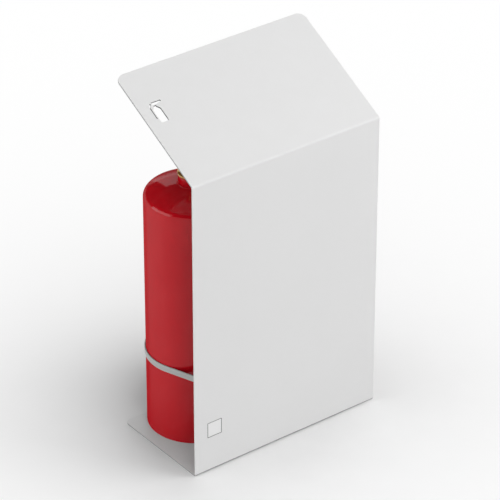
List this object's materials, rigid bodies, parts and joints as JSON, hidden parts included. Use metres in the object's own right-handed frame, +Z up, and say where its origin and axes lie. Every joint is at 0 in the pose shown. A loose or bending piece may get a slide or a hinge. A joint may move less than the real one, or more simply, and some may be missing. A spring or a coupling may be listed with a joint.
{
  "type": "free-standing fire extinguisher cabinet with two extinguishers",
  "caption": "Folded sheet-metal stand with base plate, front panel and sloping visor, holding powder extinguishers in spring clips behind the panel.",
  "frame": {"origin": "centre of the base plate's underside, on the floor", "axes": "+X to the right seen from the front, +Y from the front panel to the open back, +Z up"},
  "size_m": [0.3, 0.1808, 0.5248],
  "materials": {
    "sheet_paint": "pale grey-white powder coat, satin",
    "clip_steel": "grey coated spring steel, satin",
    "red_paint": "gloss red enamel",
    "brass": "turned brass",
    "plated_steel": "zinc plated",
    "handle_paint": "black powder coat",
    "gauge_brass": "pressed brass",
    "dial_white": "plain white dial",
    "gauge_glass": "clear"
  },
  "bodies": {
    "root": {"folded_sheet": "sheet_paint", "left_clip": "clip_steel", "right_clip": "clip_steel", "left_cylinder": "red_paint", "right_cylinder": "red_paint", "left_neck_boss": "red_paint", "right_neck_boss": "red_paint", "left_valve_body": "brass", "right_valve_body": "brass", "left_stem": "plated_steel", "right_stem": "plated_steel", "left_carry_handle": "handle_paint", "right_carry_handle": "handle_paint", "left_gland_nut": "brass", "right_gland_nut": "brass", "left_squeeze_lever": "handle_paint", "right_squeeze_lever": "handle_paint", "left_pivot_pin": "plated_steel", "right_pivot_pin": "plated_steel", "left_safety_pin": "plated_steel", "right_safety_pin": "plated_steel", "left_pull_ring": "plated_steel", "right_pull_ring": "plated_steel", "left_gauge_case": "gauge_brass", "right_gauge_case": "gauge_brass", "left_gauge_dial": "dial_white", "right_gauge_dial": "dial_white", "left_gauge_glass": "gauge_glass", "right_gauge_glass": "gauge_glass"}
  },
  "joints": []
}
